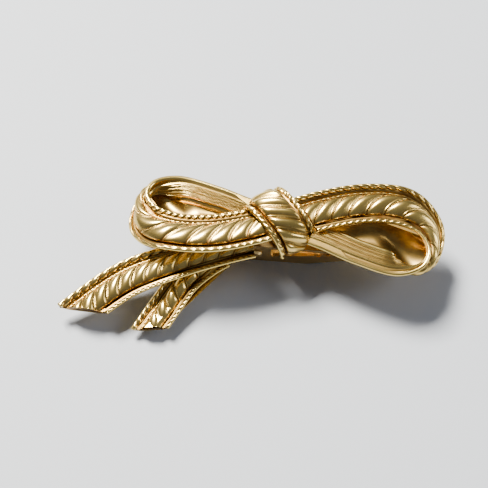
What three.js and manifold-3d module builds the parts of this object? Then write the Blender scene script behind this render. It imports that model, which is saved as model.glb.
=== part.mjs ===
// A gold-tone bow hair clip: two ribbon loops, a knot and two tails, built up from ribbon strips with a
// fluted rib down the middle and a twisted wire along each edge, on an alligator clip with a toothed jaw.
//
// Millimetres, +Z up. X runs along the loops and the clip, +Y is the back of the bow. Everything is laid out
// around the middle of the knot, with z = 0 on the surface that the clip lies on; at the end the whole model
// is moved so that its origin is the middle of its footprint on that surface.

import * as THREE from "three";
import { mergeVertices } from "three/addons/utils/BufferGeometryUtils.js";
import Module from "manifold-3d";

const wasm = await Module();
wasm.setup();

// ---------------------------------------------------------------------------------------------------------
// Driving dimensions
// ---------------------------------------------------------------------------------------------------------

const LAID_GAP = 0.2; // between pieces that are soldered together
const SLIDE_GAP = 0.1; // between faces that slide past each other

const ribbon = {
  strip: 0.6, // thickness of the plain strip
  wireRadius: 0.5, // of the twisted wire along each edge
  wireLift: 0.15, // how far the wire's middle stands above the face of the strip
  ribShare: 0.82, // width of the fluted rib as a share of the room between the edge wires
  ribHeight: 1.1,
};

const loopRight = {
  reach: 24.1, // from the middle of the bow to the far end of the opening
  openingWidth: 8.3,
  openingMiddle: -3.4, // where the opening's middle line lies, towards the return side
  ribbonWidth: 6.2,
  rootShare: 1, // how much of its width the ribbon keeps where it meets the knot
  returnTilt: 170, // degrees that the ribbon has turned over on the return side
  returnShare: 0.68, // share of its width that it keeps there, as a hem round the opening
};
const loopLeft = {
  reach: 23.6,
  openingWidth: 7.1,
  openingMiddle: -4,
  ribbonWidth: 6.8,
  rootShare: 0.95,
  returnTilt: 154,
  returnShare: 0.52,
};
const loopRise = {
  face: 10.1, // height of the opening's rim on the side that shows its face
  back: 9.3, // and on the side that returns to the knot
};
const loopTurn = {
  faceTilt: -8, // degrees of fall from the rim to the outer edge on the face side; below 0 it rises
  from: 0.36, // where along the rim the ribbon starts to turn over
  to: 0.745, // and where it has turned over
  pinch: 0.35, // share of its width that it loses at the far end of the loop
};

const bowl = {
  floor: 6.25, // height of the underside of the sheet that closes the opening from below
  sheet: 0.5,
  tuck: 0.7, // how far it reaches under the ribbon on the face side
  inset: 1.4, // and how far it stays inside the rim on the return side
};

const knot = {
  middle: [-1, 0.8],
  width: 6.3,
  halfSpan: 5.3, // from the middle of the knot to its front and back
  lean: 40, // degrees that the band leans off the Y axis
  low: 7, // height of the band's ends
  top: 11.7, // height of the body under the fluted rib
  foot: 3, // half the length of the foot that stands on the top plate
};

const longTail = {
  width: 6,
  rootShare: 0.75,
  cut: 5.8, // how much further one corner of the end reaches than the other
  route: [
    [-5.2, -3, 6.5],
    [-9.8, -4.5, 6.45],
    [-17.8, -7.1, 5.7],
    [-25.8, -10.5, 4.3],
    [-34.6, -17.7, 2.4],
  ],
};
const shortTail = {
  width: 4.7,
  rootShare: 0.95,
  cut: 3.3,
  route: [
    [-10.2, -4.1, 4],
    [-12.7, -6, 3.95],
    [-16, -9.2, 3.4],
    [-18.7, -13.4, 2.2],
    [-21.8, -19, 1.1],
  ],
};

const clip = {
  middleY: 0.8, // the clip lies behind the middle of the knot, so that the bow hides it
  plateFront: 16.8,
  plateRear: -16.5,
  plateWidth: 7,
  plate: 0.7, // thickness of the top plate
  plateTop: 6.1, // height of its upper face
  ear: 0.6, // thickness of the ears and the jaw's side walls
  earHalf: 2.5, // half the length of the plate's ears
  earDrop: 1.7, // how far the plate's ears reach below the pin's middle
};
const jaw = {
  strip: 0.7,
  width: 5.6,
  leverEnd: -16.5,
  leverPadFrom: -10,
  leverPadWidth: 7,
  flatTo: 4, // where the jaw leaves the surface and rises to the tip
  tip: 16.6,
  tipRise: 4, // height of the strip's underside at the tip
  wallRear: -8.6,
  gripFrom: 11, // where the teeth start to meet the plate
  toothPitch: 1.5,
  toothHeight: 0.8,
  earRadius: 1.35,
};
const pin = {
  x: -4.5,
  height: 3.7,
  radius: 0.6,
  holeClearance: 0.06,
  headRadius: 1.05,
  headHeight: 0.45,
};
const spring = {
  wireRadius: 0.3,
  coilRadius: 1.12, // to the middle of the wire
  turns: 4.5, // half turns leave both legs pointing to the levers
  pitch: 0.66,
  legEnd: -14.5,
};

// ---------------------------------------------------------------------------------------------------------
// Materials
// ---------------------------------------------------------------------------------------------------------

const metal = (color, roughness) => new THREE.MeshStandardMaterial({ color, roughness, metalness: 1 });
const satinGold = metal(0xc9a15a, 0.38);
const clipGold = metal(0xd0ad68, 0.28);
const springSteel = metal(0xb9b6ae, 0.25);

// ---------------------------------------------------------------------------------------------------------
// Helpers
// ---------------------------------------------------------------------------------------------------------

const UP = new THREE.Vector3(0, 0, 1);
const radians = THREE.MathUtils.degToRad;
const vector = (point) => new THREE.Vector3(...point);

const bow = new THREE.Group();

/** Adds a mesh to a group under the name that a person would use for the piece. */
function addPiece(group, name, geometry, material) {
  const mesh = new THREE.Mesh(geometry, material);
  mesh.name = name;
  group.add(mesh);
  return mesh;
}

/** A closed shape through these corners, in its own x and y. */
function polygon(corners) {
  return new THREE.Shape(corners.map(([x, y]) => new THREE.Vector2(x, y)));
}

/** A regular polygon round a middle point. */
function ring(radius, sides, x = 0, y = 0) {
  const corners = [];
  for (let i = 0; i < sides; i++) {
    const angle = (2 * Math.PI * (i + 0.5)) / sides;
    corners.push([x + radius * Math.cos(angle), y + radius * Math.sin(angle)]);
  }
  return corners;
}

/** A shape drawn in x and z, pulled out along Y from one place to another. */
function slabAlongY(shape, fromY, toY) {
  const geometry = new THREE.ExtrudeGeometry(shape, { depth: toY - fromY, bevelEnabled: false });
  geometry.rotateX(Math.PI / 2); // the shape's y becomes z, and its depth runs along -Y
  return geometry.translate(0, toY, 0);
}

/** A shape drawn in x and y, pulled out along Z from one height to another. */
function slabAlongZ(shape, fromZ, toZ) {
  const geometry = new THREE.ExtrudeGeometry(shape, { depth: toZ - fromZ, bevelEnabled: false });
  return geometry.translate(0, 0, fromZ);
}

function toSolid(geometry) {
  const bare = geometry.index ? geometry.toNonIndexed() : geometry.clone();
  bare.deleteAttribute("normal");
  bare.deleteAttribute("uv");
  const merged = mergeVertices(bare, 1e-4);
  return new wasm.Manifold(
    new wasm.Mesh({
      numProp: 3,
      vertProperties: merged.attributes.position.array,
      triVerts: new Uint32Array(merged.index.array),
    }),
  );
}

function toGeometry(solid) {
  const mesh = solid.getMesh();
  const points = new Float32Array(mesh.numVert * 3);
  for (let i = 0; i < mesh.numVert; i++) {
    points.set(mesh.vertProperties.subarray(i * mesh.numProp, i * mesh.numProp + 3), i * 3);
  }
  const geometry = new THREE.BufferGeometry();
  geometry.setAttribute("position", new THREE.BufferAttribute(points, 3));
  geometry.setIndex(new THREE.BufferAttribute(new Uint32Array(mesh.triVerts), 1));
  geometry.computeVertexNormals();
  return geometry;
}

/** The first geometry with others joined to it and then others cut from it. */
function combine(base, joined, cut = []) {
  let solid = toSolid(base);
  for (const geometry of joined) solid = solid.add(toSolid(geometry));
  for (const geometry of cut) solid = solid.subtract(toSolid(geometry));
  return toGeometry(solid);
}

// ---------------------------------------------------------------------------------------------------------
// Ribbons
// ---------------------------------------------------------------------------------------------------------

/**
 * A ribbon is a strip that follows a path. frameAt(t) gives, for t from 0 to 1, the middle of the ribbon's
 * face, the direction across it, the direction out of its face, and its width. cut is how much further the
 * low side of a slanted end reaches than the high side, in millimetres along the path.
 */
class Ribbon {
  constructor(width, steps, frameAt, length, cut = 0) {
    this.width = width;
    this.steps = steps;
    this.frameAt = frameAt;
    this.length = length;
    this.cut = cut;
    this.inner = width / 2 - ribbon.wireRadius - LAID_GAP; // half the room between the edge wires
  }

  /** Sweeps a section drawn across the ribbon (x) and out of its face (y). place says where x starts. */
  sweep(shape, place) {
    const geometry = new THREE.ExtrudeGeometry(shape, { depth: 1, steps: this.steps, bevelEnabled: false });
    const position = geometry.attributes.position;
    for (let i = 0; i < position.count; i++) {
      const t = position.getZ(i);
      const share = THREE.MathUtils.clamp(place(position.getX(i), this.width) / this.width + 0.5, 0, 1);
      const frame = this.frameAt(t * (1 - (this.cut / this.length) * share));
      const across = place(position.getX(i), frame.width);
      const point = frame.middle.clone().addScaledVector(frame.across, across);
      point.addScaledVector(frame.out, position.getY(i));
      position.setXYZ(i, point.x, point.y, point.z);
    }
    geometry.computeVertexNormals();
    return geometry;
  }

  /** Sweeps a section that keeps its place between the edge wires as the ribbon narrows. */
  sweepBetweenWires(shape) {
    const room = (width) => width / 2 - ribbon.wireRadius - LAID_GAP;
    return this.sweep(shape, (x, width) => (x * room(width)) / this.inner);
  }

  /** The plain strip between the two edge wires. */
  strip() {
    const half = this.inner;
    const thirds = [-half, -half / 3, half / 3, half];
    const face = thirds.map((x) => [x, 0]).reverse();
    const back = thirds.map((x) => [x, -ribbon.strip]);
    return this.sweepBetweenWires(polygon([...back, ...face]));
  }

  /** The rib down the middle, as a plain half-round bar of the flutes' outer shape. */
  rib() {
    const half = this.inner * ribbon.ribShare;
    const rise = ribbon.ribHeight - LAID_GAP;
    const arch = [0.94, 0.6, 0.2, -0.2, -0.6, -0.94];
    const crown = arch.map((x) => [half * x, LAID_GAP + rise * Math.sqrt(1 - x * x)]);
    const shape = polygon([[-half, LAID_GAP], [half, LAID_GAP], ...crown]);
    return this.sweepBetweenWires(shape);
  }

  /** The room that the strip, the rib and both wires take up, with a gap all round. */
  envelope() {
    const reach = (width) => width / 2 + ribbon.wireRadius + 3 * LAID_GAP;
    const half = reach(this.width);
    const low = -ribbon.strip - 4 * LAID_GAP;
    const high = ribbon.ribHeight + 3 * LAID_GAP;
    const flank = ribbon.wireRadius + 3 * LAID_GAP;
    const corners = [
      [-half, low],
      [half, low],
      [half, flank],
      [half * ribbon.ribShare, high],
      [-half * ribbon.ribShare, high],
      [-half, flank],
    ];
    return this.sweep(polygon(corners), (x, width) => (x * reach(width)) / half);
  }

  /** The wire along one edge, side -1 or 1. */
  wire(side) {
    const corners = ring(ribbon.wireRadius, 8, 0, ribbon.wireLift);
    return this.sweep(polygon(corners), (x, width) => (side * width) / 2 + x);
  }
}

/** Adds a ribbon's strip, rib and two edge wires to a group; trim changes each geometry first. */
function addRibbon(group, name, made, wireNames, trim) {
  addPiece(group, `${name}_strip`, trim(made.strip()), satinGold);
  addPiece(group, `${name}_fluted_rib`, trim(made.rib()), satinGold);
  addPiece(group, `${name}_${wireNames[0]}`, trim(made.wire(-1)), satinGold);
  addPiece(group, `${name}_${wireNames[1]}`, trim(made.wire(1)), satinGold);
}

// ---------------------------------------------------------------------------------------------------------
// Loops
// ---------------------------------------------------------------------------------------------------------

// The opening seen from above, from the knot along the face side, round the end and back: x as a share of
// the reach, y as a share of half the opening's width.
const OPENING = [
  [0.04, 0.15],
  [0.16, 0.42],
  [0.3, 0.76],
  [0.55, 1.18],
  [0.78, 1.2],
  [0.94, 0.78],
  [1.0, 0.05],
  [0.96, -0.6],
  [0.8, -1.0],
  [0.5, -0.6],
  [0.28, -0.1],
  [0.17, 0.12],
];

function loopRim(loop) {
  const corners = OPENING.map(
    ([x, y]) => new THREE.Vector3(x * loop.reach, loop.openingMiddle + (y * loop.openingWidth) / 2, 0),
  );
  return new THREE.CatmullRomCurve3(corners, false, "centripetal");
}

function loopRibbon(loop) {
  const rim = loopRim(loop);
  const frameAt = (t) => {
    const turned = THREE.MathUtils.smoothstep(t, loopTurn.from, loopTurn.to);
    const tilt = radians(THREE.MathUtils.lerp(loopTurn.faceTilt, loop.returnTilt, turned));
    const along = rim.getTangentAt(t);
    const outward = new THREE.Vector3(-along.y, along.x, 0);
    const across = outward.multiplyScalar(Math.cos(tilt)).addScaledVector(UP, -Math.sin(tilt));
    const nearRoot = THREE.MathUtils.smoothstep(Math.min(t, 1 - t), 0.02, 0.26);
    const atEnd = Math.sin(Math.PI * turned) ** 2;
    const kept = THREE.MathUtils.lerp(loop.rootShare, 1, nearRoot) - loopTurn.pinch * atEnd;
    const width = loop.ribbonWidth * kept * THREE.MathUtils.lerp(1, loop.returnShare, turned);
    const rise = THREE.MathUtils.lerp(loopRise.face, loopRise.back, turned);
    const middle = rim.getPointAt(t).setZ(rise).addScaledVector(across, width / 2);
    return { middle, across, out: along.clone().cross(across), width };
  };
  return new Ribbon(loop.ribbonWidth, 44, frameAt, rim.getLength());
}

/** Cuts away what reaches into the knot from its right side (1) or left side (-1), and a little round it. */
function trimAtKnot(geometry, side) {
  const far = 40;
  const length = 2 * (knot.halfSpan + ribbon.ribHeight + LAID_GAP);
  const block = new THREE.BoxGeometry(far, length, 2 * far);
  block.translate(side * (knot.width / 2 + ribbon.wireRadius + LAID_GAP - far / 2), 0, 0);
  block.rotateZ(radians(knot.lean)).translate(...knot.middle, 0);
  return combine(geometry, [], [block]);
}

/** The largest of the separate bodies that a cut has left. */
function largestPart(geometry) {
  const parts = toSolid(geometry).decompose();
  parts.sort((a, b) => b.volume() - a.volume());
  return toGeometry(parts[0]);
}

/** The sheet that closes a loop's opening from below, cut back to clear the ribbon round it. */
function loopBowl(loop, ribbonRound) {
  const rim = loopRim(loop);
  const outline = [];
  const steps = 40;
  for (let i = 0; i <= steps; i++) {
    const t = i / steps;
    const along = rim.getTangentAt(t);
    const turned = THREE.MathUtils.smoothstep(t, loopTurn.from, loopTurn.to);
    const reach = THREE.MathUtils.lerp(bowl.tuck, -bowl.inset, turned);
    const point = rim.getPointAt(t);
    outline.push([point.x - along.y * reach, point.y + along.x * reach]);
  }
  const sheet = slabAlongZ(polygon(outline), bowl.floor, bowl.floor + bowl.sheet);
  return combine(sheet, [], [ribbonRound.envelope()]);
}

function addLoop(name, loop, side) {
  const turn = side > 0 ? 0 : Math.PI;
  const trim = (geometry) => trimAtKnot(geometry.rotateZ(turn), side);
  const made = loopRibbon(loop);
  addRibbon(bow, name, made, ["rim_wire", "edge_wire"], trim);
  addPiece(bow, `${name}_bowl`, largestPart(trim(loopBowl(loop, made))), satinGold);
}

// ---------------------------------------------------------------------------------------------------------
// Knot
// ---------------------------------------------------------------------------------------------------------

// The arch of the band seen from its side: share of the half span, share of the rise.
const ARCH = [
  [-1, 0],
  [-0.92, 0.55],
  [-0.58, 0.9],
  [0, 1],
  [0.58, 0.9],
  [0.92, 0.55],
  [1, 0],
];

function addKnot() {
  const group = new THREE.Group();
  const corners = ARCH.map(
    ([x, z]) => new THREE.Vector3(x * knot.halfSpan, 0, THREE.MathUtils.lerp(knot.low, knot.top, z)),
  );
  const arch = new THREE.CatmullRomCurve3(corners, false, "centripetal");
  const steps = 18;
  const sole = clip.plateTop + LAID_GAP;
  const outline = [
    [-knot.foot, knot.low],
    [-knot.foot, sole],
    [knot.foot, sole],
    [knot.foot, knot.low],
  ];
  for (let i = 0; i <= steps; i++) {
    const point = arch.getPointAt(1 - i / steps);
    outline.push([point.x, point.z]);
  }
  const half = knot.width / 2 - ribbon.wireRadius - LAID_GAP;
  // Drawn along the band (x) and up (y), pulled out across the band.
  const body = slabAlongY(polygon(outline), -half, half);

  const frameAt = (t) => {
    const across = new THREE.Vector3(0, 1, 0);
    const out = arch.getTangentAt(t).cross(across);
    return { middle: arch.getPointAt(t), across, out, width: knot.width };
  };
  const band = new Ribbon(knot.width, steps, frameAt, 1);
  addPiece(group, "knot_body", body, satinGold);
  addPiece(group, "knot_fluted_rib", band.rib(), satinGold);
  addPiece(group, "knot_left_wire", band.wire(-1), satinGold);
  addPiece(group, "knot_right_wire", band.wire(1), satinGold);
  group.rotation.z = radians(knot.lean - 90);
  group.position.set(...knot.middle, 0);
  bow.add(group);
}

// ---------------------------------------------------------------------------------------------------------
// Tails
// ---------------------------------------------------------------------------------------------------------

function tailRibbon(tail, steps) {
  const route = new THREE.CatmullRomCurve3(tail.route.map(vector), false, "centripetal");
  const frameAt = (t) => {
    const along = route.getTangentAt(t);
    const across = UP.clone().cross(along).normalize();
    const out = along.clone().cross(across);
    const width = tail.width * THREE.MathUtils.lerp(tail.rootShare, 1, THREE.MathUtils.smoothstep(t, 0, 0.6));
    const middle = route.getPointAt(t).addScaledVector(out, ribbon.strip);
    return { middle, across, out, width };
  };
  return new Ribbon(tail.width, steps, frameAt, route.getLength(), tail.cut);
}

function addTails() {
  const trimLong = (geometry) => trimAtKnot(geometry, -1);
  const asMade = (geometry) => geometry;
  addRibbon(bow, "long_tail", tailRibbon(longTail, 20), ["back_wire", "front_wire"], trimLong);
  addRibbon(bow, "short_tail", tailRibbon(shortTail, 14), ["back_wire", "front_wire"], asMade);
}

// ---------------------------------------------------------------------------------------------------------
// Alligator clip
// ---------------------------------------------------------------------------------------------------------

const clipGroup = new THREE.Group();
clipGroup.position.y = clip.middleY;

/** A long rounded outline between two ends, w wide. */
function roundedBar(fromX, toX, width, corner) {
  const half = width / 2;
  const shape = new THREE.Shape();
  shape.moveTo(fromX + corner, -half);
  shape.lineTo(toX - corner, -half);
  shape.absarc(toX - corner, -half + corner, corner, -Math.PI / 2, 0);
  shape.absarc(toX - corner, half - corner, corner, 0, Math.PI / 2);
  shape.lineTo(fromX + corner, half);
  shape.absarc(fromX + corner, half - corner, corner, Math.PI / 2, Math.PI);
  shape.absarc(fromX + corner, -half + corner, corner, Math.PI, 1.5 * Math.PI);
  return shape;
}

/** A cylinder along Y through the hinge line, to cut the ears' holes. */
function hingeCylinder(radius) {
  const reach = 2 * clip.plateWidth;
  return slabAlongY(polygon(ring(radius, 32, pin.x, pin.height)), -reach / 2, reach / 2);
}

function addTopPlate() {
  const underside = clip.plateTop - clip.plate;
  const outline = roundedBar(clip.plateRear, clip.plateFront, clip.plateWidth, 2.6);
  const plate = slabAlongZ(outline, underside, clip.plateTop);
  const ear = new THREE.Shape();
  const low = pin.height - clip.earDrop;
  const corner = 1.2;
  ear.moveTo(pin.x - clip.earHalf, clip.plateTop - clip.plate / 2);
  ear.lineTo(pin.x - clip.earHalf, low + corner);
  ear.absarc(pin.x - clip.earHalf + corner, low + corner, corner, Math.PI, 1.5 * Math.PI);
  ear.lineTo(pin.x + clip.earHalf - corner, low);
  ear.absarc(pin.x + clip.earHalf - corner, low + corner, corner, -Math.PI / 2, 0);
  ear.lineTo(pin.x + clip.earHalf, clip.plateTop - clip.plate / 2);
  const outer = clip.plateWidth / 2;
  const ears = [slabAlongY(ear, -outer, clip.ear - outer), slabAlongY(ear, outer - clip.ear, outer)];
  const hole = hingeCylinder(pin.radius + pin.holeClearance);
  addPiece(clipGroup, "top_plate", combine(plate, ears, [hole]), clipGold);
}

/** The height of the jaw strip's underside at x. */
function jawFloor(x) {
  return jaw.tipRise * Math.max(0, (x - jaw.flatTo) / (jaw.tip - jaw.flatTo));
}

/** The line that the tips of the teeth reach. */
function toothLine(x) {
  const closed = clip.plateTop - clip.plate - SLIDE_GAP;
  const open = jawFloor(jaw.flatTo) + 2.6;
  return Math.min(closed, THREE.MathUtils.mapLinear(x, jaw.flatTo, jaw.gripFrom, open, closed));
}

function addJaw() {
  const floor = polygon([
    [jaw.leverEnd, 0],
    [jaw.flatTo, 0],
    [jaw.tip, jaw.tipRise],
    [jaw.tip, jaw.tipRise + jaw.strip],
    [jaw.flatTo, jaw.strip],
    [jaw.leverEnd, jaw.strip],
  ]);
  const half = jaw.width / 2;
  const base = slabAlongY(floor, -half, half);
  const pad = slabAlongZ(
    roundedBar(jaw.leverEnd - 1.5, jaw.leverPadFrom, jaw.leverPadWidth, 2.2),
    0,
    jaw.strip,
  );

  const wall = new THREE.Shape();
  const middle = jaw.strip / 2;
  wall.moveTo(jaw.wallRear, middle);
  wall.lineTo(jaw.flatTo, middle);
  wall.lineTo(jaw.tip, jaw.tipRise + middle);
  const teeth = Math.floor((jaw.tip - jaw.flatTo) / jaw.toothPitch);
  for (let i = 0; i < teeth; i++) {
    const x = jaw.tip - i * jaw.toothPitch;
    wall.lineTo(x, toothLine(x) - jaw.toothHeight);
    wall.lineTo(x - jaw.toothPitch / 2, toothLine(x - jaw.toothPitch / 2));
  }
  wall.lineTo(pin.x + jaw.earRadius + 1.4, jaw.strip + 1.1);
  wall.lineTo(pin.x + jaw.earRadius, pin.height - jaw.earRadius / 2);
  wall.absarc(pin.x, pin.height, jaw.earRadius, 0, Math.PI);
  wall.lineTo(pin.x - jaw.earRadius, pin.height - jaw.earRadius / 2);
  const walls = [slabAlongY(wall, -half, clip.ear - half), slabAlongY(wall, half - clip.ear, half)];
  const hole = hingeCylinder(pin.radius + pin.holeClearance);
  addPiece(clipGroup, "toothed_jaw", combine(base, [pad, ...walls], [hole]), clipGold);
}

function addPin() {
  const shaft = clip.plateWidth / 2 + SLIDE_GAP / 2;
  const profile = [
    [0, -shaft - pin.headHeight],
    [pin.headRadius * 0.6, -shaft - pin.headHeight],
    [pin.headRadius, -shaft - pin.headHeight / 3],
    [pin.headRadius, -shaft],
    [pin.radius, -shaft],
    [pin.radius, shaft],
    [pin.headRadius, shaft],
    [pin.headRadius, shaft + pin.headHeight / 3],
    [pin.headRadius * 0.6, shaft + pin.headHeight],
    [0, shaft + pin.headHeight],
  ];
  const points = profile.map(([x, y]) => new THREE.Vector2(x, y));
  const made = addPiece(clipGroup, "hinge_pin", new THREE.LatheGeometry(points, 24), clipGold);
  made.position.set(pin.x, 0, pin.height);
}

/** The spring's wire: a leg under the plate, the coil round the pin, and a leg on the jaw's lever. */
class SpringWire extends THREE.Curve {
  constructor() {
    super();
    this.leg = pin.x - spring.legEnd;
    this.coil = 2 * Math.PI * spring.coilRadius * spring.turns;
    this.total = 2 * this.leg + this.coil;
    this.halfWidth = (spring.pitch * spring.turns) / 2;
    this.plateZ = clip.plateTop - clip.plate - spring.wireRadius - SLIDE_GAP / 2;
    this.leverZ = jaw.strip + spring.wireRadius + SLIDE_GAP / 2;
  }

  getPoint(t, target = new THREE.Vector3()) {
    const along = t * this.total;
    const { coilRadius } = spring;
    if (along < this.leg) {
      const share = along / this.leg;
      const lift = (1 - share) ** 2 * (this.plateZ - pin.height - coilRadius);
      return target.set(spring.legEnd + along, this.halfWidth, pin.height + coilRadius + lift);
    }
    if (along > this.leg + this.coil) {
      const past = along - this.leg - this.coil;
      const share = past / this.leg;
      const drop = share ** 2 * (pin.height - coilRadius - this.leverZ);
      return target.set(pin.x - past, -this.halfWidth, pin.height - coilRadius - drop);
    }
    const share = (along - this.leg) / this.coil;
    const angle = Math.PI / 2 - share * spring.turns * 2 * Math.PI;
    return target.set(
      pin.x + coilRadius * Math.cos(angle),
      this.halfWidth * (1 - 2 * share),
      pin.height + coilRadius * Math.sin(angle),
    );
  }
}

function addSpring() {
  const path = new SpringWire();
  const shape = polygon(ring(spring.wireRadius, 6));
  const geometry = new THREE.ExtrudeGeometry(shape, { steps: 110, extrudePath: path, bevelEnabled: false });
  addPiece(clipGroup, "torsion_spring", geometry, springSteel);
}

function addClip() {
  addTopPlate();
  addJaw();
  addPin();
  addSpring();
  bow.add(clipGroup);
}

// ---------------------------------------------------------------------------------------------------------
// The whole clip
// ---------------------------------------------------------------------------------------------------------

addLoop("right_loop", loopRight, 1);
addLoop("left_loop", loopLeft, -1);
addKnot();
addTails();
addClip();

bow.updateMatrixWorld(true);
const box = new THREE.Box3().setFromObject(bow, true);
const middle = box.getCenter(new THREE.Vector3());
bow.position.set(-middle.x, -middle.y, -box.min.z);

export default bow;
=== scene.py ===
"""Looks of a bow hair clip: ribbon loops, knot and tails with fluted ribs and twisted wires, on a clip.

Lengths inside the classes are millimetres from the middle of the bow, as in the part's own source. They
become metres in the row frame when a mesh is made.
"""

import logging
import math
from dataclasses import dataclass, field
from enum import Enum
from typing import Callable, Optional, Sequence

import bmesh
import bpy
import numpy as np
from mathutils import Matrix, Vector


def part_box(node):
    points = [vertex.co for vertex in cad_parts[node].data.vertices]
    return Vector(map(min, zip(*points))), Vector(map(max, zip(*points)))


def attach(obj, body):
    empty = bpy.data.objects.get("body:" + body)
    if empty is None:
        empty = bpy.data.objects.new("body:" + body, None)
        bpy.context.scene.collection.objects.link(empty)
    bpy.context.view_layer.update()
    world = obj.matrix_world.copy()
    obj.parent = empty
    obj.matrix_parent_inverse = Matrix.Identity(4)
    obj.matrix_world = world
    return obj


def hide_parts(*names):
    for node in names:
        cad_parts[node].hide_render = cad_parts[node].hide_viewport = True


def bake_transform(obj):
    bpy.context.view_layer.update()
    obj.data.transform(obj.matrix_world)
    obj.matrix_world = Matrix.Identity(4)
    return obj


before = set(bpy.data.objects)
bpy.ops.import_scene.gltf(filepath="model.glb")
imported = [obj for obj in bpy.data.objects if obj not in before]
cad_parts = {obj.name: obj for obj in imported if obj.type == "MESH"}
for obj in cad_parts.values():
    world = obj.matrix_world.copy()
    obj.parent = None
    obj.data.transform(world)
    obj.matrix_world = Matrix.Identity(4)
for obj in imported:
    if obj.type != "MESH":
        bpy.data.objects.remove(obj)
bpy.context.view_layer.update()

log = logging.getLogger("bow_clip")

MM = 0.001
MERGE_DISTANCE = 1e-8
PIN_X = -4.5
PIN_Y = 0.8
BOW_BODY = "bow_and_plate"

Array = np.ndarray
Section = Callable[[Array, Array], tuple[Array, Array, Array]]
Trim = Callable[[bmesh.types.BMesh, Callable[[bmesh.types.BMVert], bool]], None]


class Slot(Enum):
    """The record's material slots."""

    GOLD = "satin_gold"
    CLIP = "clip_gold"
    STEEL = "spring_steel"


def bow_middle() -> Array:
    """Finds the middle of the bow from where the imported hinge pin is.

    Returns:
        The middle of the bow in the row frame, in millimetres.
    """
    low, high = (np.array(corner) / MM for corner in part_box("hinge_pin"))
    middle = (low + high) / 2
    return np.array([middle[0] - PIN_X, middle[1] - PIN_Y, 0.0])


ORIGIN = bow_middle()


def smoothstep(value: Array, low: float, high: float) -> Array:
    """Returns the smooth step from 0 at low to 1 at high."""
    share = np.clip((value - low) / (high - low), 0.0, 1.0)
    return share * share * (3 - 2 * share)


def mix(a: float, b: float, share: Array) -> Array:
    """Returns the value between a and b at a share."""
    return a + (b - a) * share


def unit(vectors: Array) -> Array:
    """Returns vectors of length 1 along the last axis."""
    return vectors / np.linalg.norm(vectors, axis=-1, keepdims=True)


# ----------------------------------------------------------------------------------------------------------
# Paths and ribbons
# ----------------------------------------------------------------------------------------------------------


class SmoothPath:
    """A centripetal curve through a few corners, read by the share of its length."""

    def __init__(self, corners: Sequence[Sequence[float]], steps: int = 60) -> None:
        """Samples the curve.

        Args:
            corners: the points it passes through.
            steps: samples between two corners.
        """
        points = np.array(corners, float)
        ends = [2 * points[0] - points[1], *points, 2 * points[-1] - points[-2]]
        share = np.linspace(0, 1, steps, endpoint=False)[:, None]
        made = []
        for p0, p1, p2, p3 in zip(ends, ends[1:], ends[2:], ends[3:]):
            d0, d1, d2 = (math.sqrt(np.linalg.norm(b - a)) for a, b in ((p0, p1), (p1, p2), (p2, p3)))
            t1 = ((p1 - p0) / d0 - (p2 - p0) / (d0 + d1) + (p2 - p1) / d1) * d1
            t2 = ((p2 - p1) / d1 - (p3 - p1) / (d1 + d2) + (p3 - p2) / d2) * d1
            cubic = 2 * p1 - 2 * p2 + t1 + t2
            square = -3 * p1 + 3 * p2 - 2 * t1 - t2
            made.append(p1 + t1 * share + square * share**2 + cubic * share**3)
        self.points = np.vstack([*made, points[-1]])
        reach = np.linalg.norm(np.diff(self.points, axis=0), axis=1)
        self.distance = np.concatenate([[0.0], np.cumsum(reach)])
        self.length = float(self.distance[-1])

    def at(self, share: Array) -> Array:
        """Returns the points at these shares of the length."""
        along = np.clip(share, 0, 1) * self.length
        return np.stack([np.interp(along, self.distance, axis) for axis in self.points.T], -1)

    def tangent(self, share: Array) -> Array:
        """Returns the directions at these shares of the length."""
        step = 0.004
        return unit(self.at(np.clip(share + step, 0, 1)) - self.at(np.clip(share - step, 0, 1)))


@dataclass
class RibbonFrame:
    """Where a ribbon's face is, at many places along it."""

    middle: Array
    across: Array
    out: Array
    width: Array


@dataclass
class Ribbon:
    """A ribbon of gold: plain strip, fluted rib down its middle, twisted wire along each edge."""

    name: str
    width: float
    length: float
    frames: Callable[[Array], RibbonFrame]
    nodes: dict[str, str]
    cut: float = 0.0
    strip_thickness: float = 0.6
    wire_radius: float = 0.5
    wire_lift: float = 0.15
    gap: float = 0.2
    rib_share: float = 0.8
    rib_shift: float = 0.0
    rib_height: float = 1.1
    flute_pitch: float = 2.9
    flute_lean: float = 0.8
    flute_bend: float = -0.1
    roundness: float = 2.0
    swell_power: float = 0.55
    strand_pitch: tuple[float, float] = (1.15, 1.15)
    wire_scale: tuple[float, float] = (1.0, 1.0)
    bead_side: int = -1
    trim: Optional[Trim] = None
    trim_late: Optional[Trim] = None

    def room(self, width: Array) -> Array:
        """Returns half the room between the edge wires for a width."""
        return width / 2 - self.wire_radius - self.gap

    def place(self, share: Array, across: Array, lift: Array, side: int = 0) -> Array:
        """Places points on the ribbon.

        Args:
            share: share of the length, 0 to 1.
            across: millimetres from the middle line, or from the edge when side is given.
            lift: millimetres out of the face.
            side: -1 or 1 for a point measured from that edge.

        Returns:
            Points in millimetres.
        """
        inner = self.room(np.array(self.width))
        guess = side * self.width / 2 + across if side else across
        slant = 1 - self.cut / self.length * np.clip(guess / self.width + 0.5, 0, 1)
        at = self.frames(share * slant)
        if side:
            sideways = side * at.width / 2 + across
        else:
            beyond = np.maximum(np.abs(across) - inner, 0) * np.sign(across)
            sideways = np.clip(across, -inner, inner) / inner * self.room(at.width) + beyond
        return at.middle + at.across * sideways[..., None] + at.out * lift[..., None]


def close_ends(bm: bmesh.types.BMesh) -> None:
    """Fills every open end of a bmesh."""
    bmesh.ops.holes_fill(bm, edges=[edge for edge in bm.edges if edge.is_boundary], sides=0)


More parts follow.
